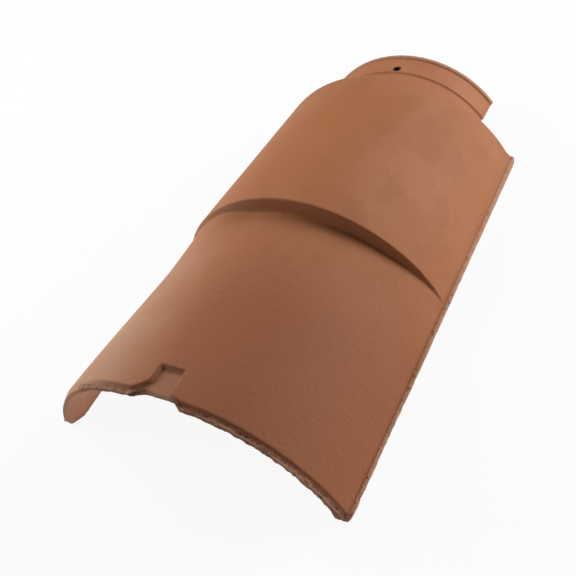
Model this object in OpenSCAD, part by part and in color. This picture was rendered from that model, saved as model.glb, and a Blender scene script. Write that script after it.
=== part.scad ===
// Ridge tile pressed and fired from one piece of clay.
// A round cover end, a crescent step at mid-length that looks like the lap of a second tile,
// and a recessed spigot that the next tile's cover end laps over.
// +Y runs along the ridge from the cover end to the spigot, +Z is up, the feet stand on z = 0.

/* [Overall] */
// Length from the cover end's edge to the spigot's bead
total_length = 449; // [440:1:500]
// Width across the ledges of the two feet
overall_width = 247; // [225:1:275]
// Length of the two feet, from the cover end's edge to the shoulder
body_length = 382; // [345:0.5:390]

/* [Rises of the crown] */
// Height of the crown at the cover end
cover_rise = 80.5; // [76:0.5:95]
// Height of the crown in the waist, just before the step
waist_rise = 75.5; // [68:0.5:84]
// Height of the crown on top of the step
step_rise = 88.2; // [86:0.1:110]
// Height of the crown at the shoulder
neck_rise = 84; // [80:0.5:100]

/* [Step] */
// Distance of the step from the cover end's edge
step_at = 190.5; // [140:0.5:240]
// Length that the step's sloping face takes up
step_run = 2.5; // [1:0.5:8]

/* [Wall] */
// Thickness of the clay
wall = 11; // [9:0.5:14]
// Length over which the underside rises to follow the step
underside_ramp = 26; // [10:1:60]

/* [Trimmed edges] */
// Height of the ledge along the feet at the cover end
foot_ledge_height = 4; // [3.5:0.5:8]
// Height of that ledge at the shoulder
neck_ledge_height = 8; // [6:0.5:12]
// How far the ledge stands out from the flank's foot at the cover end
foot_ledge_reach = 2.5; // [1:0.5:5]
// How far the ledge stands out from the flank's foot at the shoulder
neck_ledge_reach = 3; // [1:0.5:8]
// Chamfer under both ends of each foot
foot_chamfer = 2; // [1:0.5:2.5]
// Length of the ledge round the cover end's edge
cover_ledge_length = 3.5; // [2:0.5:5]
// Depth of that ledge below the tile's face
cover_ledge_drop = 2.8; // [1:0.1:4]
// Thickness of the cover end's edge, below the ledge
cover_edge_wall = 2.5; // [1.5:0.5:5]
// Length of the mouth that flares from the vault out to that edge
mouth_length = 11; // [8:0.5:20]

/* [Spigot] */
// Radius of the spigot's face
spigot_radius = 102.5; // [95:0.5:108]
// Height of the spigot's crown above the feet
spigot_rise = 66.5; // [60:0.5:70]
// Half of the angle that the spigot covers
spigot_half_angle = 57; // [40:1:60]
// Thickness of the spigot
spigot_wall = 9.5; // [8:0.5:12]
// Width of the bead along the spigot's edge
bead_width = 5; // [4:0.5:10]
// Height of the bead above the spigot's face
bead_height = 1.6; // [0.5:0.1:3]
// Distance of the fine rib on the spigot's face from the spigot's end
rib_from_end = 30; // [29:0.5:36]
// Height of the rib above the spigot's root
rib_height = 1.3; // [0.5:0.1:3]

/* [Shoulder] */
// Length that the shoulder's steep face takes up
shoulder_run = 3; // [1:0.5:6]
// Size of the cove between that face and the spigot's root
root_cove = 4; // [2:0.5:8]
// How far the spigot's bore reaches back past the body's end
shoulder_offset = 6; // [4:0.5:10]
// How far the shoulder reaches back into the body's wall
shoulder_lap = 16; // [14:0.5:24]

/* [Nail hole] */
// Diameter of the nail hole
nail_hole_d = 6.5; // [4:0.5:9]
// Distance of the nail hole from the spigot's end
nail_hole_from_end = 24.5; // [12:0.5:26]

/* [Clip seat] */
// Width of the clip's recess in the cover end's crown
clip_recess_width = 18.5; // [12:0.5:26]
// Length of that recess from the cover end's edge
clip_recess_length = 26; // [14:0.5:40]
// Depth of that recess below the crown
clip_recess_depth = 3; // [1.5:0.1:4]
// Width of the notch in the cover end's edge, at its back
edge_notch_width = 28; // [22:0.5:36]
// Depth of that notch along the tile, its sides run out at 45 degrees
edge_notch_depth = 6; // [5.5:0.5:8]

/* [Hidden] */
clay = "#a2694a";
// Distance by which a cut runs past the face that it opens
overrun = 5;
// Steps across one half of the arch, and rings along each half of the body
arch_steps = 18;
body_rings = 7;
ramp_rings = 6;
// Spread and fall of each arch: z = rise * (1 - |x / half|^spread)^fall
cover_arch_shares = [2.60, 0.77];
waist_arch_shares = [1.93, 0.71];
step_arch_shares = [2.03, 0.675];
neck_arch_shares = [2.11, 0.72];
// Rounded upper edge of the foot's ledge, as a share of its height
ledge_round_share = 0.35;
// Length of the slope from the cover end's ledge up to the face, as a share of the drop
ledge_slope_share = 0.6;
// Depth of the shoulder's upper edge and of its inner edge in the body's wall, as shares of the wall
shoulder_step_share = 0.05;
shoulder_root_share = 0.5;
// Bead's chamfer, as a share of its width
bead_chamfer_share = 0.25;

foot_half = overall_width / 2;
cover_half = foot_half - foot_ledge_reach;
neck_half = foot_half - neck_ledge_reach;
step_top_at = step_at + step_run;
spigot_axis_z = spigot_rise - spigot_radius;
spigot_bore = spigot_radius - spigot_wall;
root_radius = spigot_radius - rib_height;
rib_at = total_length - rib_from_end;
shoulder_radius = neck_rise - spigot_axis_z - wall * shoulder_step_share;
shoulder_root_radius = shoulder_radius - wall * shoulder_root_share;

// An arch section is [half width at z = 0, rise, spread, fall]
cover_arch = concat([cover_half, cover_rise], cover_arch_shares);
waist_arch = concat([cover_half, waist_rise], waist_arch_shares);
step_arch = concat([cover_half, step_rise], step_arch_shares);
neck_arch = concat([neck_half, neck_rise], neck_arch_shares);

function mix(a, b, t) = a + (b - a) * t;
function ease(t) = let (u = min(1, max(0, t))) u * u * (3 - 2 * u);
function inset(arch, depth) = [arch[0] - depth, arch[1] - depth, arch[2], arch[3]];
function arch_z(x, arch) = arch[1] * pow(max(0, 1 - pow(abs(x) / arch[0], arch[2])), arch[3]);
// Half width of an arch at height z
function arch_x(z, arch) = arch[0] * pow(1 - pow(z / arch[1], 1 / arch[3]), 1 / arch[2]);

function cover_half_arch(y) = mix(cover_arch, waist_arch, ease(y / step_at));
function neck_half_arch(y) = mix(step_arch, neck_arch, (y - step_top_at) / (body_length - step_top_at));
function face_arch(y) = y <= step_at ? cover_half_arch(y) : neck_half_arch(y);

// The underside follows the face one wall below it, and its step lies behind the face's own
function vault_arch(y) = y <= step_top_at ? inset(waist_or_cover(y), wall_under_cover(y))
    : mix(inset(waist_arch, wall), inset(neck_half_arch(y), wall),
          ease((y - step_top_at) / underside_ramp));
function waist_or_cover(y) = y <= step_at ? cover_half_arch(y) : waist_arch;
// The mouth flares from the whole wall to the thin edge of the cover end
function wall_under_cover(y) = mix(cover_ledge_drop + cover_edge_wall, wall, min(1, y / mouth_length));

// Points of one arch from its right foot over the crown to its left foot, from height z_foot up
function arch_points(y, arch, z_foot) =
    let (x_foot = arch_x(z_foot, arch))
    [for (i = [-arch_steps : arch_steps])
        let (x = -x_foot * sin(90 * i / arch_steps))
        [x, y, abs(i) == arch_steps ? z_foot : arch_z(x, arch)]];

// Height of the foot's sole, which is chamfered at both ends
function sole(y) = max(0, foot_chamfer - y, foot_chamfer - body_length + y);

// The ledge's height, which grows from the cover end to the shoulder
function ledge_height(y) = mix(foot_ledge_height, neck_ledge_height, y / body_length);

// The ledge's outline at one foot, from the flank's foot down to the sole
function ledge_points(y, side) =
    let (top = ledge_height(y))
    [[side * (foot_half - top * ledge_round_share), y, top],
     [side * foot_half, y, mix(top, sole(y), ledge_round_share)],
     [side * foot_half, y, sole(y)]];

function reversed(list) = [for (i = [len(list) - 1 : -1 : 0]) list[i]];

// One closed ring round the wall: right ledge, face, left ledge, then back along the underside
function ring(y, face, vault) = concat(
    reversed(ledge_points(y, 1)),
    arch_points(y, face, ledge_height(y)),
    ledge_points(y, -1),
    reversed(arch_points(y, vault, sole(y))));

cover_rim_arch = inset(cover_arch, cover_ledge_drop);
cover_face_at = cover_ledge_length + cover_ledge_drop * ledge_slope_share;

// Rings along the body, each as [place, face, vault]
stations = concat(
    [for (y = [0, cover_ledge_length])
        [y, cover_rim_arch, vault_arch(y)]],
    [[cover_face_at, face_arch(cover_face_at), vault_arch(cover_face_at)]],
    [for (i = [0 : body_rings])
        let (y = mix(mouth_length, step_at, i / body_rings))
        [y, face_arch(y), vault_arch(y)]],
    [for (i = [0 : ramp_rings])
        let (y = mix(step_top_at, step_top_at + underside_ramp, i / ramp_rings))
        [y, neck_half_arch(y), vault_arch(y)]],
    [for (i = [1 : body_rings])
        let (y = mix(step_top_at + underside_ramp, body_length - foot_chamfer, i / body_rings))
        [y, neck_half_arch(y), vault_arch(y)]],
    [[body_length, neck_arch, vault_arch(body_length)]]);

// Flat end of the wall as triangles: one strip between face and underside, and a fan at each foot
arch_count = 2 * arch_steps + 1;
ledge_count = len(ledge_points(0, 1));
ring_count = 2 * arch_count + 2 * ledge_count;
function end_faces() = concat(
    [for (i = [0 : arch_count - 2])
        let (a = ledge_count + i, b = ring_count - 1 - i)
        each [[a, a + 1, b - 1], [a, b - 1, b]]],
    [for (i = [0 : ledge_count - 1])
        each [[ring_count - 1, i, i + 1],
              let (a = ledge_count + arch_count - 1 + i) [ring_count - arch_count, a, a + 1]]]);

// Closed loft through the rings of the wall
module loft(rings) {
    last = len(rings) - 1;
    sides = [for (j = [0 : last - 1], i = [0 : ring_count - 1])
        let (a = j * ring_count + i, b = j * ring_count + (i + 1) % ring_count)
        each [[a, b, b + ring_count], [a, b + ring_count, a + ring_count]]];
    near_end = [for (f = end_faces()) reversed(f)];
    far_end = [for (f = end_faces()) [for (i = f) last * ring_count + i]];
    polyhedron(points = [for (r = rings) each r], faces = concat(sides, near_end, far_end), convexity = 8);
}

module body() {
    loft([for (s = stations) ring(s[0], s[1], s[2])]);
}

// Shoulder and spigot, turned about the spigot's axis
module spigot() {
    bead_r = spigot_radius + bead_height;
    bead_from = total_length - bead_width;
    chamfer = bead_width * bead_chamfer_share;
    outside = [
        [shoulder_radius, body_length - shoulder_lap],
        [shoulder_radius, body_length],
        [root_radius + root_cove, body_length + shoulder_run],
        [root_radius, body_length + shoulder_run + root_cove],
        [root_radius, rib_at],
        [spigot_radius, rib_at + rib_height],
        [spigot_radius, bead_from],
        [bead_r, bead_from + chamfer],
        [bead_r, total_length - chamfer],
        [bead_r - chamfer, total_length]];
    inside = [
        [spigot_bore, total_length],
        [spigot_bore, body_length - shoulder_offset],
        [shoulder_root_radius, body_length - shoulder_lap]];
    translate([0, 0, spigot_axis_z])
        rotate([-90, 0, 0])
            rotate([0, 0, -90 - spigot_half_angle])
                rotate_extrude(angle = 2 * spigot_half_angle, $fn = 180)
                    polygon(concat(outside, inside));
}

module nail_hole() {
    translate([0, total_length - nail_hole_from_end, spigot_rise - spigot_wall - overrun])
        cylinder(d = nail_hole_d, h = spigot_wall + 2 * overrun, $fn = 48);
}

// Shallow recess in the crown, open at the cover end's edge
module clip_recess() {
    translate([-clip_recess_width / 2, -overrun, cover_rise - clip_recess_depth])
        cube([clip_recess_width, clip_recess_length + overrun, clip_recess_depth + overrun]);
}

// Notch through the cover end's edge, with sides at 45 degrees
module edge_notch() {
    back_half = edge_notch_width / 2;
    front_half = back_half + edge_notch_depth + overrun;
    translate([0, 0, cover_rise - wall - overrun])
        linear_extrude(wall + 2 * overrun)
            polygon([
                [-front_half, -overrun],
                [front_half, -overrun],
                [back_half, edge_notch_depth],
                [-back_half, edge_notch_depth]]);
}

module ridge_tile() {
    color(clay)
        translate([0, -total_length / 2, 0])
            difference() {
                union() {
                    body();
                    spigot();
                }
                nail_hole();
                clip_recess();
                edge_notch();
            }
}

ridge_tile();
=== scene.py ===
"""Dresses the ridge tile: a blank of clay is pressed to the arch, trimmed, fired and photographed."""
import math

import bpy
from mathutils import Matrix, Vector


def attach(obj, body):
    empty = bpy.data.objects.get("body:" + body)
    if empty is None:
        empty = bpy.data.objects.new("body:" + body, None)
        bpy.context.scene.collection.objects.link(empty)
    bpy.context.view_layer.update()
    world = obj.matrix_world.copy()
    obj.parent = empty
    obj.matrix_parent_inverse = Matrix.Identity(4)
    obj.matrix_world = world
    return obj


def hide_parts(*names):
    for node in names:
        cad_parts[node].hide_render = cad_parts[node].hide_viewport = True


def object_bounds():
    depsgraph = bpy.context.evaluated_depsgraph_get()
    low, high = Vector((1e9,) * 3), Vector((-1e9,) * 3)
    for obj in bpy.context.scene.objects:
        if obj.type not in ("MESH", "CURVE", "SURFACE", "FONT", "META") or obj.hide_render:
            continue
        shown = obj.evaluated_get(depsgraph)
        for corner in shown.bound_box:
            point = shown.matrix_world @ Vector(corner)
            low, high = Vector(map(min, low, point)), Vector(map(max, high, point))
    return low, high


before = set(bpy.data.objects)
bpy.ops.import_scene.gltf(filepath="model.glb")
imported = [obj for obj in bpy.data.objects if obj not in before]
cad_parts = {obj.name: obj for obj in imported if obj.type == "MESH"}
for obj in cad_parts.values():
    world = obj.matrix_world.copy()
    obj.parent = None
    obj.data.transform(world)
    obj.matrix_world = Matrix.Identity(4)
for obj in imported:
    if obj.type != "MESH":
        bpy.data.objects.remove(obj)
cad_box = [list(corner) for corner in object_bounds()]

# Sizes of the tile in millimetres. Most are those of its CAD source. The foot ledge's height, the lip,
# the spigot's radius, the bead's width and all wear are this one tile's own. The shoulder's lap is taken
# where the slope under the source's shoulder comes out of the vault.
# Along the tile, places are measured from the cover end's edge.
MM = 0.001
SIZES = {
    "Total length": 449.0,
    "Foot half": 123.5,
    "Body length": 382.0,
    "Cover rise": 80.5,
    "Waist rise": 75.5,
    "Step rise": 88.2,
    "Neck rise": 84.0,
    "Step at": 190.5,
    "Step run": 2.5,
    "Step lag": 4.0,
    "Step lag reach": 22.0,
    "Step fade": 50.0,
    "Wall": 11.0,
    "Underside ramp": 26.0,
    "Foot ledge height": 2.6,
    "Neck ledge height": 8.0,
    "Neck cove": 2.2,
    "Cover half": 121.0,
    "Neck half": 120.5,
    "Foot chamfer": 2.0,
    "Worn left corner": 2.6,
    "Worn right corner": 0.8,
    "Worn corner reach": 12.0,
    "Foot at mouth": 2.4,
    "Foot at mouth reach": 40.0,
    "Cover lip": 3.0,
    "Cover face at": 5.4,
    "Cover ledge drop": 2.8,
    "Cover edge wall": 2.5,
    "Soft lip from": -2.5,
    "Soft lip to": 6.5,
    "Mouth length": 11.0,
    "Spigot radius": 100.8,
    "Spigot rise": 66.5,
    "Spigot wall": 9.5,
    "Rib at": 419.0,
    "Rib height": 1.3,
    "Rib slope before": 1.0,
    "Rib slope behind": 0.9,
    "Bead width": 6.4,
    "Bead height": 1.6,
    "Bead slope": 1.8,
    "Bead end round": 1.6,
    "Shoulder run": 3.0,
    "Root cove": 4.0,
    "Shoulder offset": 6.0,
    "Shoulder lap": 13.6,
    "End round": 0.3,
    "End round run": 1.6,
    "Clip recess half": 9.25,
    "Clip recess length": 26.0,
    "Clip recess depth": 3.0,
    "Clip recess side slope": 1.3,
    "Clip recess back foot": 2.3,
    "Clip recess back top": 1.6,
    "Notch half": 14.0,
    "Notch depth": 6.0,
    "Notch fade": 46.0,
    "Cheek end": 13.0,
    "Cheek run": 9.0,
    "Cheek slope": 3.0,
    "Cheek width": 9.5,
}
SPIGOT_LIMIT = math.radians(57.0)
NAIL_HOLE_RADIUS = 3.25
NAIL_HOLE_AT = 424.5
QUARTER_TURN = math.pi / 2
# Keep a division off zero, in millimetres, and a limit off its own line, in radians
COVE_HAIR = 0.01
TURN_HAIR = 0.001
# Spread and fall of the arch rule z = rise * (1 - |x / half| ^ spread) ^ fall
ARCH_SHAPES = {"cover": (2.60, 0.77), "waist": (1.93, 0.71), "step": (2.03, 0.675), "neck": (2.11, 0.72)}
# Where wear sets in and is full, or fades out again, on one flank, from the crown, at 0, to the foot, at 1
SOFT_LIP_SHARES = (0.12, 0.40)
LOW_LIP_SHARES = (0.05, 0.30)
SHALLOW_LEFT_IN_SHARES = (0.15, 0.40)
SHALLOW_LEFT_OUT_SHARES = (0.62, 0.82)
SHALLOW_RIGHT_SHARES = (0.45, 0.95)
# Shares of the lip's drop, of the step, of the shoulder's drop and of the bead's height
SOFT_LIP_SHARE = 0.9
LOW_LIP_SHARE = 0.45
SHALLOW_LEFT_SHARE = 0.45
SHALLOW_RIGHT_SHARE = 0.3
SHOULDER_STEEP_SHARE = 0.78
SHOULDER_COVE_SHARE = 0.22
BEAD_ROUND_SHARE = 0.7
# The cove's reach up the face, in its own widths
NECK_COVE_REACH = 3
# A higher power keeps the step's lag, or the thicker foot at the mouth, closer to the feet
LAG_POWER = 3
MOUTH_POWER = 6


class Sum:
    """A number in a node tree, so that a rule can be written as a sum."""

    def __init__(self, tree, socket):
        self.tree, self.socket = tree, socket

    def math(self, operation, *others, clamp=False):
        node = self.tree.nodes.new("ShaderNodeMath")
        node.operation, node.use_clamp = operation, clamp
        for slot, other in zip(node.inputs, (self, *others)):
            plug(self.tree, other, slot)
        return Sum(self.tree, node.outputs[0])

    def __add__(self, other):
        return self.math("ADD", other)

    def __sub__(self, other):
        return self.math("SUBTRACT", other)

    def __mul__(self, other):
        return self.math("MULTIPLY", other)

    def __truediv__(self, other):
        return self.math("DIVIDE", other)

    def __pow__(self, other):
        return self.math("POWER", other)

    def __abs__(self):
        return self.math("ABSOLUTE")

    def __rsub__(self, other):
        return (self * -1) + other

    def __rtruediv__(self, other):
        return (self ** -1) * other

    __radd__ = __add__
    __rmul__ = __mul__

    def least(self, other):
        return self.math("MINIMUM", other)

    def most(self, other):
        return self.math("MAXIMUM", other)

    def sign(self):
        return self.math("SIGN")

    def sin(self):
        return self.math("SINE")

    def cos(self):
        return self.math("COSINE")

    def held(self):
        """The number, held between 0 and 1."""
        return self.math("ADD", 0.0, clamp=True)

    def ramp(self, start, end, smooth=True):
        """0 before start, 1 after end."""
        node = self.tree.nodes.new("ShaderNodeMapRange")
        node.interpolation_type = "SMOOTHSTEP" if smooth else "LINEAR"
        for name, value in (("Value", self), ("From Min", start), ("From Max", end)):
            plug(self.tree, value, node.inputs[name])
        return Sum(self.tree, node.outputs[0])


def plug(tree, value, slot):
    if isinstance(value, Sum):
        value = value.socket
    if isinstance(value, bpy.types.NodeSocket):
        tree.links.new(value, slot)
    else:
        slot.default_value = value


def mix(a, b, share):
    return a + (b - a) * share


# The blank: a flat sheet of clay with every line where the press will need one

BLANK_VALUES = ("along", "across", "ledge_out", "ledge_down", "through", "turn", "step_share", "trimmed")
# The flat blank in metres
BLANK_HALF, BLANK_THICKNESS = 0.1, 0.01
# Lines across: how many lie on a flank, how far they stay off those that the recess and the notch need,
# and how far inside the cover's half width the last one lies
COLUMN_STEPS, COLUMN_CLEARANCE, FACE_INSET = 90, 0.6, 2.0
CROWN_COLUMNS = (7.9, 8.5, 9.1, 9.7, 10.3, 11.0, 13.6, 14.4, 19.6, 20.4)
# Lines over the foot ledge, as shares of the way out and of the way down
LEDGE_SHARES = ((0.30, 0.0), (0.62, 0.03), (0.88, 0.14), (1.0, 0.35), (1.0, 0.56), (1.0, 0.78), (1.0, 1.0))
# Lines along the tile. Those of the lip and the recess are measured from the cover end's edge, the others
# from the form that they are named for. Those of the step also say how much of the step they have climbed.
LIP_ROWS = (0.0, 0.8, 1.6, 2.4, 3.0, 3.5, 4.0, 4.5, 5.0, 5.6, 6.6)
RECESS_BACK_ROWS = (24.0, 24.6, 25.2, 25.8, 26.4, 27.0)
STEP_ROWS = ((-2.5, 0.0), (-0.9, 0.0), (-0.2, 0.005), (0.1, 0.04), (0.4, 0.16), (0.7, 0.34),
             (1.0, 0.52), (1.3, 0.70), (1.6, 0.86), (1.9, 0.955), (2.4, 0.99), (3.3, 1.0))
BODY_END_ROWS = (-1.6, -1.0, -0.5, -0.2, 0.0)
SHOULDER_ROWS = (0.5, 1.0, 1.6, 2.3, 3.0, 3.8, 4.8, 5.9, 7.0)
RIB_ROWS = (-1.0, -0.4, 0.0, 0.4, 0.9)
HOLE_ROWS = (-3.9, -2.0, 0.0, 2.0, 3.9)
BEAD_ROWS = (-0.5, 0.0, 0.4, 0.9, 1.4, 1.8, 2.8, 4.0, 4.8, 5.6, 6.0, 6.4)
# Even stretches between those lists, with their pitch. The first two are measured from the cover end's edge.
# The far one starts behind the step, the neck's before the body's end and the spigot's behind it, and the
# hole's behind the last line of the nail hole.
RECESS_STRETCH = (7.6, 23.2, 1.9)
NEAR_STRETCH_FROM, NEAR_PITCH = 28.2, 2.9
FAR_STRETCH_FROM, FAR_PITCH = 5.1, 3.0
NECK_STRETCH, NECK_PITCH = 16.0, 1.8
SPIGOT_STRETCH_FROM, SPIGOT_PITCH = 9.2, 2.4
HOLE_STRETCH_FROM, HOLE_PITCH = 2.2, 2.0
# The nail hole takes the place of this many cells on each side of its middle
HOLE_CELLS = 2
# Lines through the wall at an edge, from the face to the underside
THROUGH_LINES = (0.0, 0.33, 0.67, 1.0)
# Below 1, the lines of the underside lie further apart at the crown than at the feet
UNDERSIDE_SPREAD = 0.94
# How much of the neck's half width the lines of its face span
NECK_FACE_SHARE = 0.985
# Trimmed clay: the foot ledge past a share of its way out, and the lip, which is shorter inside the notch
# and is left out where it is rounded on the left
LEDGE_OUT_SHARE = 0.5
NOTCH_SHARE = 0.11
NOTCH_LIP = 0.5
ROUNDED_LIP_SHARE = 0.42


def column_lines():
    """Lines across the blank, from the left foot to the right one, as (across, ledge out, ledge down)."""
    at_cover = SIZES["Cover half"] - FACE_INSET
    xs = [at_cover * math.sin(QUARTER_TURN * i / COLUMN_STEPS) for i in range(COLUMN_STEPS + 1)]
    xs = [x for x in xs if min(abs(x - wanted) for wanted in CROWN_COLUMNS) > COLUMN_CLEARANCE]
    xs = sorted([*xs, *CROWN_COLUMNS])
    half = [(math.asin(min(1.0, x / at_cover)) / QUARTER_TURN, 0.0, 0.0) for x in xs]
    half += [(1.0, out, down) for out, down in LEDGE_SHARES]
    left = [(-across, out, down) for across, out, down in reversed(half[1:])]
    return left + half


def row_lines():
    """Lines along the blank, from the cover end to the spigot's bead, as (along, share of the step)."""
    def spread(start, end, pitch):
        count = max(1, round((end - start) / pitch))
        return [start + (end - start) * i / count for i in range(count)]

    def lines_at(place, offsets):
        return [place + offset for offset in offsets]

    step, body_end, rib = SIZES["Step at"], SIZES["Body length"], SIZES["Rib at"]
    bead = SIZES["Total length"] - SIZES["Bead width"]
    hole_rows = lines_at(NAIL_HOLE_AT, HOLE_ROWS)
    near = [*LIP_ROWS, *spread(*RECESS_STRETCH), *RECESS_BACK_ROWS]
    near += spread(NEAR_STRETCH_FROM, step + STEP_ROWS[0][0], NEAR_PITCH)
    far = spread(step + FAR_STRETCH_FROM, body_end - NECK_STRETCH, FAR_PITCH)
    far += spread(body_end - NECK_STRETCH, body_end + BODY_END_ROWS[0], NECK_PITCH)
    far += lines_at(body_end, BODY_END_ROWS) + lines_at(body_end, SHOULDER_ROWS)
    far += spread(body_end + SPIGOT_STRETCH_FROM, rib + RIB_ROWS[0], SPIGOT_PITCH) + lines_at(rib, RIB_ROWS)
    far += hole_rows + spread(hole_rows[-1] + HOLE_STRETCH_FROM, bead + BEAD_ROWS[0], HOLE_PITCH)
    far += lines_at(bead, BEAD_ROWS)
    rows = [(y, 0.0) for y in near] + [(step + offset, share) for offset, share in STEP_ROWS]
    return rows + [(y, 1.0) for y in far], hole_rows


def neck_turn(across):
    """Angle about the spigot's axis at which a line across meets the shoulder."""
    spread, fall = ARCH_SHAPES["neck"]
    half, rise = SIZES["Neck half"], SIZES["Neck rise"]
    x = half * NECK_FACE_SHARE * math.sin(QUARTER_TURN * across)
    z = rise * (1 - abs(x / half) ** spread) ** fall
    return math.atan2(x, z - SIZES["Spigot rise"] + SIZES["Spigot radius"])


def clay_blank():
    """A closed slab: the face, the underside and the edges between them, still flat."""
    columns, (rows, hole_rows) = column_lines(), row_lines()
    last = len(columns) - 1
    middle = last // 2
    turns = [neck_turn(across) for across, out, down in columns]
    in_spigot = [j for j, turn in enumerate(turns) if abs(turn) <= SPIGOT_LIMIT and columns[j][1] == 0]
    first_in, last_in = in_spigot[0], in_spigot[-1]
    stretch = SPIGOT_LIMIT / abs(turns[first_in])
    body_end_row = next(i for i, (y, step) in enumerate(rows) if y >= SIZES["Body length"])
    hole_row = next(i for i, (y, step) in enumerate(rows) if y == hole_rows[0])
    hole_middle_row = hole_row + HOLE_CELLS

    def cell(i, j):
        """Whether there is clay between rows i, i + 1 and columns j, j + 1."""
        if not (0 <= i < len(rows) - 1 and 0 <= j < last):
            return False
        if i >= body_end_row and not first_in <= j < last_in:
            return False
        in_hole = -HOLE_CELLS <= i - hole_middle_row < HOLE_CELLS and -HOLE_CELLS <= j - middle < HOLE_CELLS
        return not in_hole

    points, index, faces = [], {}, []
    radius = SIZES["Spigot radius"]

    def point(i, j, through):
        if (i, j, through) in index:
            return index[i, j, through]
        (along, step), (across, out, down) = rows[i], columns[j]
        turn = turns[j] * stretch
        if abs(i - hole_middle_row) <= HOLE_CELLS and abs(j - middle) <= HOLE_CELLS:
            around = math.atan2(i - hole_middle_row, j - middle)
            along = NAIL_HOLE_AT + NAIL_HOLE_RADIUS * math.sin(around)
            at_depth = mix(radius, radius - SIZES["Spigot wall"], through)
            turn = math.asin(NAIL_HOLE_RADIUS * math.cos(around) / at_depth)
        if through > 0:
            across = (j - middle) / middle
            across = math.copysign(abs(across) ** UNDERSIDE_SPREAD, across)
        edge = 0.0 < through < 1.0 or (through == 1.0 and (i == 0 or j in (0, last)))
        lip = NOTCH_LIP if abs(across) < NOTCH_SHARE else SIZES["Cover lip"]
        on_ledge = through == 0.0 and (out > LEDGE_OUT_SHARE or along < lip)
        rounded = across < -ROUNDED_LIP_SHARE and out == 0 and along < SIZES["Cover face at"]
        trimmed = 1.0 if (edge or on_ledge) and not rounded else 0.0
        index[i, j, through] = len(points)
        points.append((along, across, out, down, through, turn, step, trimmed))
        return index[i, j, through]

    def wall(a, b):
        """The edge of the sheet from point a to point b, closed through the clay."""
        for upper, lower in zip(THROUGH_LINES, THROUGH_LINES[1:]):
            faces.append((point(*a, upper), point(*a, lower), point(*b, lower), point(*b, upper)))

    for i in range(len(rows) - 1):
        for j in range(last):
            if not cell(i, j):
                continue
            corners = (i, j), (i, j + 1), (i + 1, j + 1), (i + 1, j)
            faces.append(tuple(point(*c, 0.0) for c in corners))
            faces.append(tuple(point(*c, 1.0) for c in reversed(corners)))
            for k, (di, dj) in enumerate(((-1, 0), (0, 1), (1, 0), (0, -1))):
                if not cell(i + di, j + dj):
                    wall(corners[k], corners[(k + 1) % 4])

    mesh = bpy.data.meshes.new("ridge_tile_clay")
    places = [(p[1] * BLANK_HALF, p[0] * MM, p[4] * BLANK_THICKNESS) for p in points]
    mesh.from_pydata(places, [], faces)
    for k, name in enumerate(BLANK_VALUES):
        layer = mesh.attributes.new(name, "FLOAT", "POINT")
        layer.data.foreach_set("value", [p[k] for p in points])
    return mesh


# The press: the arch rule as a node tree with the tile's sizes as its inputs


def new_geometry_tree(name, values):
    tree = bpy.data.node_groups.new(name, "GeometryNodeTree")
    tree.interface.new_socket("Clay", in_out="INPUT", socket_type="NodeSocketGeometry")
    tree.interface.new_socket("Clay", in_out="OUTPUT", socket_type="NodeSocketGeometry")
    for label, value in values.items():
        if isinstance(value, float):
            socket = tree.interface.new_socket(label, in_out="INPUT", socket_type="NodeSocketFloat")
            socket.default_value = value
        else:
            tree.interface.new_socket(label, in_out="INPUT", socket_type="NodeSocketMaterial")
    return tree, tree.nodes.new("NodeGroupInput"), tree.nodes.new("NodeGroupOutput")


def attribute(tree, name):
    node = tree.nodes.new("GeometryNodeInputNamedAttribute")
    node.data_type = "FLOAT"
    node.inputs["Name"].default_value = name
    return Sum(tree, node.outputs["Attribute"])


def combine(tree, x, y, z):
    node = tree.nodes.new("ShaderNodeCombineXYZ")
    for slot, value in zip(node.inputs, (x, y, z)):
        plug(tree, value, slot)
    return node.outputs[0]


def separate(tree, place):
    node = tree.nodes.new("ShaderNodeSeparateXYZ")
    tree.links.new(place, node.inputs[0])
    return [Sum(tree, axis) for axis in node.outputs]


def realize(tree, clay):
    node = tree.nodes.new("GeometryNodeRealizeInstances")
    tree.links.new(clay, node.inputs[0])
    return node.outputs[0]


def set_finish(tree, clay, material, where=None):
    node = tree.nodes.new("GeometryNodeSetMaterial")
    tree.links.new(clay, node.inputs["Geometry"])
    tree.links.new(material, node.inputs["Material"])
    if where:
        plug(tree, where, node.inputs["Selection"])
    return node.outputs[0]


def move_clay(tree, clay, slot, value):
    node = tree.nodes.new("GeometryNodeSetPosition")
    tree.links.new(clay, node.inputs["Geometry"])
    tree.links.new(value, node.inputs[slot])
    return node.outputs[0]


def arch_z(x, half, rise, spread, fall):
    return rise * (1 - abs(x / half).least(1.0) ** spread).most(0.0) ** fall


def arch_x(z, half, rise, spread, fall):
    return half * (1 - (z / rise) ** (1.0 / fall)) ** (1.0 / spread)


def named_sections(size, y):
    """The arch before the step and behind it, each as half width, rise, spread and fall."""
    step_end = size["Step at"] + size["Step run"]
    to_waist = y.ramp(0.0, size["Step at"])
    to_neck = ((y - step_end) / (size["Body length"] - step_end)).held()
    cover = [size["Cover half"], size["Cover rise"], *ARCH_SHAPES["cover"]]
    waist = [size["Cover half"], size["Waist rise"], *ARCH_SHAPES["waist"]]
    crest = [size["Cover half"], size["Step rise"], *ARCH_SHAPES["step"]]
    neck = [size["Neck half"], size["Neck rise"], *ARCH_SHAPES["neck"]]
    near = [mix(a, b, to_waist) for a, b in zip(cover, waist)]
    far = [mix(a, b, to_neck) for a, b in zip(crest, neck)]
    return near, far


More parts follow.
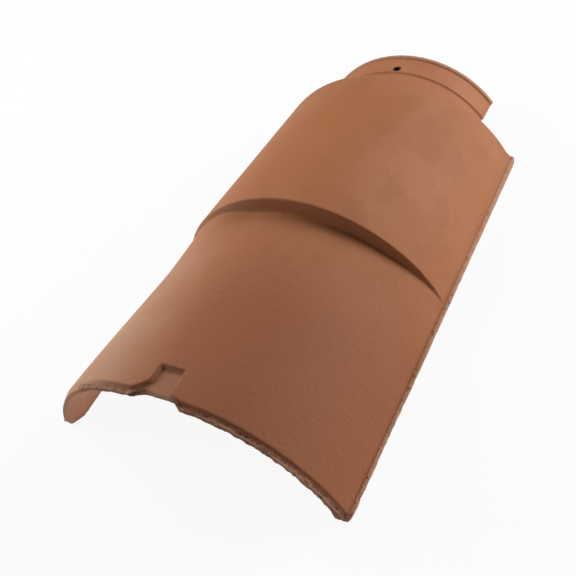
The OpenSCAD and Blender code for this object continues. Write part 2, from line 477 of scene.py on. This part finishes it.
def edge_drop(size, y, left, right):
    """How far the face drops to the ledge round the cover end, and at the rounded end of the body."""
    sheer = 1 - y.ramp(size["Cover lip"], size["Cover face at"])
    sheer = sheer * (1 - LOW_LIP_SHARE * right.ramp(*LOW_LIP_SHARES))
    soft = SOFT_LIP_SHARE - SOFT_LIP_SHARE * y.ramp(size["Soft lip from"], size["Soft lip to"])
    cover_drop = size["Cover ledge drop"] * mix(sheer, soft, left.ramp(*SOFT_LIP_SHARES))
    near_end = ((y - size["Body length"]) / size["End round run"] + 1).held()
    return cover_drop + size["End round"] * near_end ** 2


def shallow_step(size, along, left, right):
    """How much of the step is lost on the left shoulder and towards the right foot."""
    on_left = left.ramp(*SHALLOW_LEFT_IN_SHARES) * (1 - left.ramp(*SHALLOW_LEFT_OUT_SHARES))
    on_right = right.ramp(*SHALLOW_RIGHT_SHARES)
    shallow = on_left * SHALLOW_LEFT_SHARE + on_right * SHALLOW_RIGHT_SHARE
    return shallow * (1 - abs(along - size["Step at"]) / size["Step fade"]).held()


def clip_recess(size, y, left, face_x):
    """1 on the floor of the clip's recess, which opens to a slanted cheek on the left of the notch."""
    cheek = ((size["Cheek end"] - y) / size["Cheek run"]).held() * left.math("GREATER_THAN", 0.0)
    slope = size["Clip recess side slope"] + cheek * size["Cheek slope"]
    from_side = abs(face_x) - cheek * size["Cheek width"]
    half, back = size["Clip recess half"], size["Clip recess length"]
    between_sides = 1 - from_side.ramp(half - slope, half + slope)
    before_back = 1 - y.ramp(back - size["Clip recess back foot"], back + size["Clip recess back top"])
    return between_sides * before_back


def spigot_face(size, y):
    """Radius of the spigot's face, with its rib and its bead."""
    end = size["Total length"]
    bead_from = end - size["Bead width"]
    bead = y.ramp(bead_from, bead_from + size["Bead slope"])
    bead = bead - y.ramp(end - size["Bead end round"], end) * BEAD_ROUND_SHARE
    rib = y.ramp(size["Rib at"] - size["Rib slope before"], size["Rib at"] + size["Rib slope behind"])
    return size["Spigot radius"] - size["Rib height"] * (1 - rib) + size["Bead height"] * bead


def press_tree(finish):
    tree, given, result = new_geometry_tree("press_the_arch", {**SIZES, "Pressed clay": finish})
    size = {label: Sum(tree, given.outputs[label]) for label in SIZES}
    along, across, out, down, through, turn, step = [attribute(tree, name) for name in BLANK_VALUES[:-1]]
    left, right = (across * -1).most(0.0), across.most(0.0)
    round_the_arch = (across * QUARTER_TURN).sin()

    # The notch pushes the cover end's edge back at the crown, and the step lags on the left flank
    notch = size["Notch half"] + size["Notch depth"] - abs(round_the_arch * size["Cover half"])
    notch = notch.least(size["Notch depth"]).most(0.0)
    y = along + notch * (1 - along / size["Notch fade"]).most(0.0)
    near_step = (1 - abs(along - size["Step at"]) / size["Step lag reach"]).most(0.0)
    y = y + size["Step lag"] * left ** LAG_POWER * near_step

    # The face, with the ledge round the cover end and along the feet
    near, far = named_sections(size, y)
    step = step + (1 - step) * shallow_step(size, along, left, right)
    half, rise, spread, fall = [mix(a, b, step) for a, b in zip(near, far)]
    drop = edge_drop(size, y, left, right)
    half, rise = half - drop, rise - drop
    along_body = (y / size["Body length"]).held()
    ends = (size["Foot chamfer"] - y).most(size["Foot chamfer"] - size["Body length"] + y)
    sole = ends.most(0.0).least(size["Foot chamfer"])
    ledge = mix(size["Foot ledge height"], size["Neck ledge height"], along_body ** 2)
    foot_x = arch_x(ledge, half, rise, spread, fall)
    face_x = foot_x * round_the_arch
    face_z = arch_z(face_x, half, rise, spread, fall)
    cove = size["Neck cove"] * y.ramp(size["Step at"], size["Body length"])
    cove_out = cove * (1 - (face_z - ledge) / (cove * NECK_COVE_REACH + COVE_HAIR)).held() ** 2
    worn = left * size["Worn left corner"] + right * size["Worn right corner"]
    worn = worn * (1 - y / size["Worn corner reach"]).most(0.0) ** 2
    ledge_out = out * (size["Foot half"] - foot_x - cove - worn)
    face_x = face_x + across.sign() * (cove_out + ledge_out)
    face_z = face_z - down * (face_z - sole)
    recess_floor = size["Cover rise"] - size["Clip recess depth"]
    face_z = mix(face_z, face_z.least(recess_floor), clip_recess(size, y, left, face_x))

    # The underside, one wall below the face, with a flared mouth
    mouth_wall = size["Cover ledge drop"] + size["Cover edge wall"]
    wall = mix(mouth_wall, size["Wall"], (y / size["Mouth length"]).held())
    step_end = size["Step at"] + size["Step run"]
    behind_step = y.ramp(step_end, step_end + size["Underside ramp"])
    half, rise, spread, fall = [mix(a, b, behind_step) for a, b in zip(near, far)]
    half, rise = half - wall, rise - wall
    vault_foot = arch_x(sole, half, rise, spread, fall)
    near_mouth = (1 - y / size["Foot at mouth reach"]).most(0.0)
    thick = size["Foot at mouth"] * abs(across) ** MOUTH_POWER * near_mouth
    vault_x = (vault_foot - thick) * round_the_arch
    vault_z = arch_z(vault_foot * round_the_arch, half, rise, spread, fall)

    # The shoulder drops to the turned spigot
    axis_z = size["Spigot rise"] - size["Spigot radius"]
    outer_r, inner_r = spigot_face(size, y), size["Spigot radius"] - size["Spigot wall"]
    end = size["Body length"]
    steep_end = end + size["Shoulder run"]
    slope = y.ramp(end, steep_end, smooth=False) * SHOULDER_STEEP_SHARE
    slope = slope + y.ramp(steep_end, steep_end + size["Root cove"]) * SHOULDER_COVE_SHARE
    under_spigot = abs(turn).math("LESS_THAN", SPIGOT_LIMIT + TURN_HAIR)
    inner_slope = y.ramp(end - size["Shoulder lap"], end - size["Shoulder offset"], smooth=False)
    inner_slope = inner_slope * under_spigot
    outer_x = mix(face_x, outer_r * turn.sin(), slope)
    outer_z = mix(face_z, axis_z + outer_r * turn.cos(), slope)
    inner_x = mix(vault_x, inner_r * turn.sin(), inner_slope)
    inner_z = mix(vault_z, axis_z + inner_r * turn.cos(), inner_slope)

    x, z = mix(outer_x, inner_x, through) * MM, mix(outer_z, inner_z, through) * MM
    place = combine(tree, x, (y - size["Total length"] / 2) * MM, z)
    clay = realize(tree, move_clay(tree, given.outputs["Clay"], "Position", place))
    tree.links.new(set_finish(tree, clay, given.outputs["Pressed clay"]), result.inputs["Clay"])
    return tree


# The firing: unevenness, ragged trimmed edges, and the three finishes

RELIEF = {
    "Seed": 7.0,
    "Sway": 0.35,
    "Lumps": 0.10,
    "Ragged edge": 3.4,
}
# The edges are calmer at the notch, along the feet and on the left, in millimetres in the frame
CALM_NOTCH, CALM_FEET, CALM_SHARE = (18.0, 26.0), (-190.0, -40.0), 0.75
CALM_LEFT, CALM_LEFT_SHARE = (-34.0, -20.0), 0.4
NIBBLE_LEVEL = 0.57
BROKEN_SHARE = 0.7
NOISE_MIDDLE = 0.5
VAULT_THROUGH, TRIMMED_FROM = 0.8, 0.45
SHARP_ANGLE = math.radians(48)


def noise(tree, place, scale, seed, detail=2.0, roughness=0.5):
    node = tree.nodes.new("ShaderNodeTexNoise")
    node.noise_dimensions = "4D"
    plug(tree, place, node.inputs["Vector"])
    for name, value in (("W", seed), ("Scale", scale), ("Detail", detail), ("Roughness", roughness)):
        plug(tree, value, node.inputs[name])
    return Sum(tree, node.outputs["Fac"])


def vector_math(tree, operation, place, other):
    node = tree.nodes.new("ShaderNodeVectorMath")
    node.operation = operation
    tree.links.new(place, node.inputs[0])
    plug(tree, other, node.inputs["Scale" if operation == "SCALE" else 1])
    return node.outputs[0]


def firing_tree(finishes):
    tree, given, result = new_geometry_tree("fire_and_trim", {**RELIEF, **finishes})
    size = {label: Sum(tree, given.outputs[label]) for label in RELIEF}
    seed = size["Seed"]
    place = tree.nodes.new("GeometryNodeInputPosition").outputs[0]
    normal = tree.nodes.new("GeometryNodeInputNormal").outputs[0]
    trimmed, through = attribute(tree, "trimmed"), attribute(tree, "through")
    x, y = [axis / MM for axis in separate(tree, place)[:2]]
    calm = 1 - CALM_SHARE * (1 - abs(x).ramp(*CALM_NOTCH))
    calm = calm * (1 - CALM_SHARE * y.ramp(*CALM_FEET))
    calm = calm * ((1 - CALM_LEFT_SHARE) + CALM_LEFT_SHARE * x.ramp(*CALM_LEFT))

    sway = (noise(tree, place, scale=11.0, seed=seed, detail=1.0) - NOISE_MIDDLE) * size["Sway"]
    lumps = (noise(tree, place, scale=90.0, seed=seed + 3.0) - NOISE_MIDDLE) * size["Lumps"]
    nibbled = noise(tree, place, scale=330.0, seed=seed + 5.0, roughness=0.6) - NIBBLE_LEVEL
    broken = noise(tree, place, scale=95.0, seed=seed + 8.0, detail=1.0) - NIBBLE_LEVEL
    ragged = (nibbled + broken * BROKEN_SHARE) * size["Ragged edge"] * trimmed * calm
    push = vector_math(tree, "SCALE", normal, (sway + lumps + ragged) * MM)
    clay = move_clay(tree, given.outputs["Clay"], "Offset", push)

    # Nothing swells past the box of the CAD part
    pushed = tree.nodes.new("GeometryNodeInputPosition").outputs[0]
    kept = vector_math(tree, "MAXIMUM", pushed, cad_box[0])
    kept = vector_math(tree, "MINIMUM", kept, cad_box[1])
    clay = realize(tree, move_clay(tree, clay, "Position", kept))

    clay = set_finish(tree, clay, given.outputs["Pressed clay"])
    clay = set_finish(tree, clay, given.outputs["Vault clay"], through.math("GREATER_THAN", VAULT_THROUGH))
    clay = set_finish(tree, clay, given.outputs["Trimmed clay"], trimmed.math("GREATER_THAN", TRIMMED_FROM))
    tree.links.new(clay, result.inputs["Clay"])
    return tree


def shape_with(piece, tree, values):
    """Runs a tree on the piece and keeps its result as a plain mesh."""
    modifier = piece.modifiers.new(tree.name, "NODES")
    modifier.node_group = tree
    sockets = {s.name: s.identifier for s in tree.interface.items_tree if s.in_out == "INPUT"}
    for label, value in values.items():
        modifier[sockets[label]] = value
    shaped = piece.evaluated_get(bpy.context.evaluated_depsgraph_get())
    mesh = bpy.data.meshes.new_from_object(shaped)
    piece.modifiers.remove(modifier)
    blank, piece.data = piece.data, mesh
    bpy.data.meshes.remove(blank)


# Finishes: one fired colour and one grain, with values of their own for each zone of the tile

CLAY_COLOURS = ("Clay", "Pale clay", "Dark clay", "Grain", "Flashed and lit clay", "Deep clay", "Highlight streak clay", "Painted shade")
# Shared colours: flashed and lit clay, partly kiln flashing and partly painted light; deep clay, a kiln tone;
# a painted highlight streak; and painted shade
FIRING = ((0.412, 0.236, 0.145), (0.345, 0.126, 0.047), (0.400, 0.170, 0.085), (0.050, 0.022, 0.013))
PRESSED = ((0.348, 0.133, 0.057), (0.380, 0.155, 0.072), (0.286, 0.103, 0.049), (0.50, 0.30, 0.17), *FIRING)
# Trimmed edges: their own greyer clay, set lighter still as painted light that lifts the ledge out of the
# drop's shade
TRIMMED_AND_LIT = ((0.415, 0.198, 0.122), (0.500, 0.290, 0.198), (0.130, 0.060, 0.036), (0.60, 0.42, 0.26), *FIRING)
# Vault: set lighter than the pressed face, painted light that brightens the inside of the arch
VAULT_LIT = ((0.430, 0.192, 0.115), (0.465, 0.218, 0.134), (0.375, 0.156, 0.089), (0.48, 0.32, 0.20), *FIRING)
CLAY_SPECULAR = 0.14
FINISHES = {
    "Pressed clay": {
        "name": "pressed_clay", "colours": PRESSED, "roughness": 0.66, "bump_depth": 0.6,
        "tones": {"Mottle": 1.0, "Grains": 0.12, "Kiln tones and painted shading": 0.90, "Highlight streak": 0.4},
        "relief": {"Grain": 0.05, "Pimples": 0.24, "Pits": 0.12, "Strokes": 0.16},
    },
    "Vault clay": {
        "name": "vault_clay", "colours": VAULT_LIT, "roughness": 0.85, "bump_depth": 1.0,
        "tones": {"Mottle": 1.0, "Grains": 0.2},
        "relief": {"Grain": 0.2, "Pimples": 0.3, "Pits": 0.25},
    },
    "Trimmed clay": {
        "name": "trimmed_clay", "colours": TRIMMED_AND_LIT, "roughness": 0.9, "bump_depth": 1.2,
        "tones": {"Mottle": 0.5, "Grains": 0.6, "Pores": 0.7},
        "relief": {"Grain": 0.5, "Pimples": 0.6, "Pits": 0.8},
    },
}
# Patterns of the clay: each noise, and the levels between which it shows
PATTERNS = {
    "cloud": {"scale": 13.0, "seed": 1.0, "detail": 3.0, "roughness": 0.55, "levels": (0.38, 0.66)},
    "flame": {"scale": 30.0, "seed": 4.0, "detail": 4.0, "roughness": 0.6, "levels": (0.45, 0.72)},
    "speck": {"scale": 520.0, "seed": 9.0, "detail": 1.0, "levels": (0.66, 0.74)},
    "pore": {"scale": 430.0, "seed": 15.0, "detail": 1.0, "levels": (0.60, 0.68)},
    "patch": {"scale": 22.0, "seed": 17.0, "detail": 3.0, "levels": (0.35, 0.60)},
    "pimple": {"scale": 210.0, "seed": 6.0, "roughness": 0.4, "levels": (0.50, 0.78)},
    "pit": {"scale": 150.0, "seed": 12.0, "detail": 1.0, "levels": (0.68, 0.80)},
    "stroke": {"scale": 300.0, "seed": 21.0, "detail": 1.0, "levels": (0.50, 0.74)},
}
GRAIN_NOISE = {"scale": 900.0, "seed": 2.0, "detail": 3.0}
# Where each tone of the fired clay and each painted light and shade fades in or out, in millimetres in the
# frame
TONE_FADES = {
    "flashed across": (-105.0, 25.0),
    "flashed along": (-175.0, 10.0),
    "flashed up": (10.0, 55.0),
    "deep across": (-50.0, 50.0),
    "deep start": (-110.0, 20.0),
    "deep end": (60.0, 180.0),
    "deep up": (0.0, 60.0),
    "dusk across": (-45.0, 5.0),
    "dusk along": (-150.0, -20.0),
    "crease start": (-30.0, 80.0),
    "crease end": (140.0, 158.0),
    "rim across": (-50.0, -20.0),
    "rim along": (-218.0, -216.0),
    "tip across": (-116.0, -105.0),
    "tip along": (-222.5, -217.0),
    "tip up": (2.0, 7.0),
    "riser across": (-60.0, 0.0),
    "riser start": (-34.6, -33.8),
    "riser end": (-31.8, -30.8),
    "bead along": (217.6, 219.6),
    "recess across": (7.2, 8.4),
    "recess along": (-202.0, -200.0),
    "off recess wall": (1.0, 2.6),
    "recess wall start": (-214.0, -211.0),
    "recess wall end": (-198.5, -196.5),
    "off recess back": (0.8, 2.4),
    "recess back across": (8.8, 10.6),
    "off cheek": (4.0, 7.0),
    "cheek along": (-214.0, -211.0),
    "cheek up": (78.5, 80.0),
    "off nail hole": (3.5, 5.0),
    "stroke along": (-60.0, 0.0),
}
RECESS_WALL_X, RECESS_BACK_Y, CHEEK_X = -9.4, -198.3, -15.0
# Place, lean and half width of the painted highlight streak
HIGHLIGHT_STREAK_X, HIGHLIGHT_STREAK_LEAN, HIGHLIGHT_STREAK_HALF = 33.2, 0.1875, 11.0
TONE_SHARES = {
    "flame": 0.5,
    "rim": 0.62,
    "tip": 0.75,
    "painted_light_riser": 0.35,
    "bead": 0.5,
    "recess": 0.3,
    "painted_shade": 0.36,
}
# Least and added share of a tone that is never quite gone
FLASHED_AND_SHEEN_SHARES = (0.55, 0.45)
RIM_SHARES = (0.6, 0.4)
# Strokes run round an axis below the tile, drawn out along their way, and are weaker on the far half
STROKE_AXIS_DEPTH, STROKE_RADIUS, STROKE_DRAW, STROKE_LOSS_SHARE = 40.0, 130.0, 0.45, 0.6


def pattern(tree, place, label):
    values = dict(PATTERNS[label])
    levels = values.pop("levels")
    return noise(tree, place, **values).ramp(*levels)


def fade(place, label):
    start, end = TONE_FADES[label]
    return place.ramp(start * MM, end * MM)


def new_material(name):
    material = bpy.data.materials.new(name)
    material.use_nodes = True
    tree = material.node_tree
    return material, tree, tree.nodes["Principled BSDF"]


def colour_mix(tree, share, a, b):
    node = tree.nodes.new("ShaderNodeMix")
    node.data_type = "RGBA"
    first, second = [slot for slot in node.inputs if slot.type == "RGBA"]
    for slot, value in ((node.inputs[0], share), (first, a), (second, b)):
        plug(tree, value, slot)
    return next(slot for slot in node.outputs if slot.type == "RGBA")


def new_shader_group(name, numbers, colours, outputs):
    tree = bpy.data.node_groups.new(name, "ShaderNodeTree")
    for label, value in numbers.items():
        socket = tree.interface.new_socket(label, in_out="INPUT", socket_type="NodeSocketFloat")
        socket.default_value = value
    for label in colours:
        tree.interface.new_socket(label, in_out="INPUT", socket_type="NodeSocketColor")
    for label, kind in outputs.items():
        tree.interface.new_socket(label, in_out="OUTPUT", socket_type=kind)
    given, result = tree.nodes.new("NodeGroupInput"), tree.nodes.new("NodeGroupOutput")
    return tree, given, result, tree.nodes.new("ShaderNodeTexCoord").outputs["Object"]


def fired_colour_group():
    """Clay that fired a little paler, pinker or darker from place to place, with grains of ochre, and painted
    light and shade in a few places.
    """
    numbers = {"Mottle": 1.0, "Grains": 0.3, "Pores": 0.0, "Kiln tones and painted shading": 0.0, "Highlight streak": 0.0}
    tree, given, result, place = new_shader_group(
        "fired_colour", numbers, CLAY_COLOURS, {"Color": "NodeSocketColor"})
    amount = {label: Sum(tree, given.outputs[label]) for label in numbers}
    x, y, z = separate(tree, place)

    def tint(colour, share, label):
        return colour_mix(tree, share, colour, given.outputs[label])

    # All over: clouds, flame marks, grains and pores
    cloud, flame, speck, pore, patch = [
        pattern(tree, place, label) for label in ("cloud", "flame", "speck", "pore", "patch")]
    colour = tint(given.outputs["Clay"], cloud * amount["Mottle"], "Pale clay")
    colour = tint(colour, flame * amount["Mottle"] * TONE_SHARES["flame"], "Dark clay")
    colour = tint(colour, speck * amount["Grains"], "Grain")
    colour = tint(colour, pore * amount["Pores"], "Dark clay")

    # From the kiln, with painted light and shade: a pale left flank that is partly kiln flashing and partly
    # painted sheen, a deep band at mid-length, painted shade over the near half and a painted highlight
    # streak on the far half
    least, added = FLASHED_AND_SHEEN_SHARES
    patchy = least + added * patch
    # Kiln flashing on the left flank, partly painted sheen where the light grazes it
    flashed_and_sheen = (1 - fade(x, "flashed across")) * (1 - fade(y, "flashed along"))
    flashed_and_sheen = flashed_and_sheen * (least + added * fade(z, "flashed up")) * patchy
    colour = tint(colour, flashed_and_sheen * amount["Kiln tones and painted shading"], "Flashed and lit clay")
    deep = (1 - fade(x, "deep across")) * (fade(y, "deep start") - fade(y, "deep end")) * fade(z, "deep up")
    colour = tint(colour, deep * amount["Kiln tones and painted shading"], "Deep clay")
    # Painted shade: the near half right of the crown is darkened where the light falls off towards the cover
    # end
    painted_near_shade = fade(x, "dusk across") * (1 - fade(y, "dusk along"))
    colour = tint(colour, painted_near_shade * amount["Kiln tones and painted shading"], "Dark clay")
    # Painted highlight: a pale streak along the far half, where a soft ridge would catch the light
    off_highlight_streak = (x - HIGHLIGHT_STREAK_X * MM - y * HIGHLIGHT_STREAK_LEAN) / (HIGHLIGHT_STREAK_HALF * MM)
    painted_highlight_streak = (1 - (off_highlight_streak * off_highlight_streak).least(1.0)) ** 2
    painted_highlight_streak = painted_highlight_streak * (fade(y, "crease start") - fade(y, "crease end"))
    colour = tint(colour, painted_highlight_streak * amount["Highlight streak"], "Highlight streak clay")

    # From handling: a dark rim, a worn left tip and a pale bead. Painted light: a paler left end of the
    # step's riser and a paler recess floor
    least, added = RIM_SHARES
    rim = (1 - fade(y, "rim along")) * (least + added * fade(x, "rim across"))
    colour = tint(colour, rim * amount["Pores"] * TONE_SHARES["rim"], "Dark clay")
    tip = (1 - fade(z, "tip up")) * (1 - fade(y, "tip along")) * (1 - fade(x, "tip across"))
    colour = tint(colour, tip * TONE_SHARES["tip"], "Grain")
    # Painted light: the left end of the step's riser is made paler, where the left window lights it
    painted_light_riser = (fade(y, "riser start") - fade(y, "riser end")) * (1 - fade(x, "riser across"))
    colour = tint(colour, painted_light_riser * TONE_SHARES["painted_light_riser"], "Flashed and lit clay")
    colour = tint(colour, fade(y, "bead along") * TONE_SHARES["bead"], "Flashed and lit clay")
    # Painted light: the recess floor is made paler, lifting the lamps' shade in it
    painted_light_in_recess = (1 - fade(abs(x), "recess across")) * (1 - fade(y, "recess along"))
    colour = tint(colour, painted_light_in_recess * TONE_SHARES["recess"], "Flashed and lit clay")

    # Painted shade along the recess's left wall, its back and the cheek, and round the nail hole, where it
    # widens the hole's dark opening
    on_wall = 1 - fade(abs(x - RECESS_WALL_X * MM), "off recess wall")
    on_wall = on_wall * (1 - fade(y, "recess wall end")) * fade(y, "recess wall start")
    on_back = 1 - fade(abs(y - RECESS_BACK_Y * MM), "off recess back")
    on_back = on_back * (1 - fade(abs(x), "recess back across"))
    on_cheek = 1 - fade(abs(x - CHEEK_X * MM), "off cheek")
    on_cheek = on_cheek * (1 - fade(y, "cheek along")) * (1 - fade(z, "cheek up"))
    painted_shade = on_wall.most(on_back).most(on_cheek)
    colour = tint(colour, painted_shade * TONE_SHARES["painted_shade"], "Painted shade")
    # Painted shade round the nail hole, so that its dark opening reads wider
    from_hole = (x * x + (y - (NAIL_HOLE_AT - SIZES["Total length"] / 2) * MM) ** 2) ** 0.5
    colour = tint(colour, 1 - fade(from_hole, "off nail hole"), "Painted shade")
    tree.links.new(colour, result.inputs["Color"])
    return tree


def clay_grain_group():
    """Height of the fired surface: a fine grain, low pimples, scattered pits and strokes round the arch."""
    numbers = {"Grain": 0.3, "Pimples": 0.5, "Pits": 0.3, "Strokes": 0.0}
    tree, given, result, place = new_shader_group("clay_grain", numbers, (), {"Height": "NodeSocketFloat"})
    amount = {label: Sum(tree, given.outputs[label]) for label in numbers}
    x, y, z = separate(tree, place)
    grain = noise(tree, place, **GRAIN_NOISE)
    pimple, pit = pattern(tree, place, "pimple"), pattern(tree, place, "pit")
    around = x.math("ARCTAN2", z + STROKE_AXIS_DEPTH * MM) * (STROKE_RADIUS * MM)
    drawn = combine(tree, around * STROKE_DRAW, y, 0.0)
    stroke = pattern(tree, drawn, "stroke") * (1 - STROKE_LOSS_SHARE * fade(y, "stroke along"))
    height = grain * amount["Grain"] + pimple * amount["Pimples"]
    height = height - pit * amount["Pits"] + stroke * amount["Strokes"]
    tree.links.new(height.socket, result.inputs["Height"])
    return tree


def place_group(tree, group, values):
    node = tree.nodes.new("ShaderNodeGroup")
    node.node_tree = group
    for label, value in values.items():
        node.inputs[label].default_value = value
    return node.outputs[0]


def clay_finish(colour_group, grain_group, name, colours, tones, relief, roughness, bump_depth):
    material, tree, shader = new_material(name)
    painted = {label: (*value, 1.0) for label, value in zip(CLAY_COLOURS, colours)}
    tree.links.new(place_group(tree, colour_group, {**painted, **tones}), shader.inputs["Base Color"])
    bump = tree.nodes.new("ShaderNodeBump")
    bump.inputs["Distance"].default_value = bump_depth * MM
    tree.links.new(place_group(tree, grain_group, relief), bump.inputs["Height"])
    tree.links.new(bump.outputs[0], shader.inputs["Normal"])
    shader.inputs["Roughness"].default_value = roughness
    shader.inputs["Specular IOR Level"].default_value = CLAY_SPECULAR
    return material


# The tile, pressed and fired

fired_colour, clay_grain = fired_colour_group(), clay_grain_group()
finishes = {label: clay_finish(fired_colour, clay_grain, **values) for label, values in FINISHES.items()}
pressed = finishes["Pressed clay"]
tile = bpy.data.objects.new("ridge_tile_clay", clay_blank())
bpy.context.scene.collection.objects.link(tile)
shape_with(tile, press_tree(pressed), {**SIZES, "Pressed clay": pressed})
shape_with(tile, firing_tree(finishes), {**RELIEF, **finishes})
tile.data.polygons.foreach_set("use_smooth", [True] * len(tile.data.polygons))
tile.data.set_sharp_from_angle(angle=SHARP_ANGLE)
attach(tile, "root")
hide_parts("ridge_tile")

# Stage: a white floor that keeps a soft shadow, a white surround and two soft windows, in metres

WHITE = (1.0, 1.0, 1.0, 1.0)
FLOOR_GREY = (0.80, 0.80, 0.80, 1.0)
FLOOR_ROUGHNESS = 0.9
FLOOR_REACH = 4.0
FLOOR_FAR_OFF = (0.35, 0.90)
# Shares of white glow: for every ray, what rays that are seen add, and what those far off add again
FLOOR_GLOW_SHARE, FLOOR_SEEN_SHARE, FLOOR_FAR_SHARE = 0.82, 0.10, 0.08
WINDOW_WIDTH, WINDOW_AIM = 0.9, (0.0, 0.0, 0.05)
WINDOWS = {
    "left_window": {"place": (-1.168, -0.150, 0.600), "watts": 18.5},
    "right_window": {"place": (0.810, 0.800, 0.690), "watts": 20.5},
}


def seen_ray(tree):
    """1 for what the camera sees, directly or in a reflection or through glass."""
    path = tree.nodes.new("ShaderNodeLightPath")
    seen = Sum(tree, path.outputs["Is Camera Ray"]).most(path.outputs["Is Glossy Ray"])
    return seen.most(path.outputs["Is Transmission Ray"])


def floor_finish():
    """White to the camera and in reflections, except where the tile shades it."""
    material, tree, shader = new_material("studio_floor")
    shader.inputs["Base Color"].default_value = FLOOR_GREY
    shader.inputs["Roughness"].default_value = FLOOR_ROUGHNESS
    shader.inputs["Specular IOR Level"].default_value = 0.0
    glow = tree.nodes.new("ShaderNodeEmission")
    glow.inputs["Color"].default_value = WHITE
    x, y = separate(tree, tree.nodes.new("ShaderNodeTexCoord").outputs["Object"])[:2]
    far_off = ((x * x + y * y) ** 0.5).ramp(*FLOOR_FAR_OFF)
    share = seen_ray(tree) * (far_off * FLOOR_FAR_SHARE + FLOOR_SEEN_SHARE) + FLOOR_GLOW_SHARE
    blend = tree.nodes.new("ShaderNodeMixShader")
    for slot, value in zip(blend.inputs, (share, shader.outputs[0], glow.outputs[0])):
        plug(tree, value, slot)
    tree.links.new(blend.outputs[0], tree.nodes["Material Output"].inputs["Surface"])
    return material


def white_floor():
    mesh = bpy.data.meshes.new("studio_floor")
    corners = [(x * FLOOR_REACH, y * FLOOR_REACH, 0.0) for x, y in ((-1, -1), (1, -1), (1, 1), (-1, 1))]
    mesh.from_pydata(corners, [], [(0, 1, 2, 3)])
    mesh.materials.append(floor_finish())
    floor = bpy.data.objects.new("studio_floor", mesh)
    bpy.context.scene.collection.objects.link(floor)
    return floor


def white_surround():
    """White where it is seen, with no light of its own."""
    world = bpy.data.worlds.new("white_surround")
    world.use_nodes = True
    background = world.node_tree.nodes["Background"]
    background.inputs["Color"].default_value = WHITE
    plug(world.node_tree, seen_ray(world.node_tree), background.inputs["Strength"])
    return world


def soft_window(name, place, watts):
    data = bpy.data.lights.new(name, "AREA")
    data.shape, data.size, data.size_y, data.energy = "RECTANGLE", WINDOW_WIDTH, WINDOW_WIDTH, watts
    window = bpy.data.objects.new(name, data)
    window.location = place
    window.rotation_euler = (Vector(WINDOW_AIM) - Vector(place)).to_track_quat("-Z", "Y").to_euler()
    bpy.context.scene.collection.objects.link(window)


studio_floor = white_floor()
scene = bpy.context.scene
scene.world = white_surround()
for name, values in WINDOWS.items():
    soft_window(name, **values)

# Camera, fitted to the photograph: it stands to the right of the cover end and looks down along the tile

AZIMUTH, ELEVATION, ROLL = math.radians(38.703), math.radians(42.678), math.radians(-16.907)
CAMERA_AT = (0.27626, -0.40537, 0.42647)
# The lens and the sensor in millimetres, the nearest distance that is seen in metres
LENS_LENGTH, SENSOR_WIDTH, NEAREST = 46.275, 36.0, 0.01


def photograph_camera():
    level_ahead = Vector((-math.sin(AZIMUTH), math.cos(AZIMUTH), 0.0))
    level_right = Vector((math.cos(AZIMUTH), math.sin(AZIMUTH), 0.0))
    ahead = level_ahead * math.cos(ELEVATION) - Vector((0.0, 0.0, math.sin(ELEVATION)))
    level_up = level_right.cross(ahead)
    right = level_right * math.cos(ROLL) + level_up * math.sin(ROLL)
    up = level_up * math.cos(ROLL) - level_right * math.sin(ROLL)
    lens = bpy.data.cameras.new("camera")
    lens.lens, lens.sensor_width, lens.clip_start = LENS_LENGTH, SENSOR_WIDTH, NEAREST
    camera = bpy.data.objects.new("camera", lens)
    camera.matrix_world = Matrix((right, up, -ahead)).transposed().to_4x4()
    camera.location = CAMERA_AT
    bpy.context.scene.collection.objects.link(camera)
    return camera


scene.camera = photograph_camera()
scene.view_settings.view_transform = "Standard"
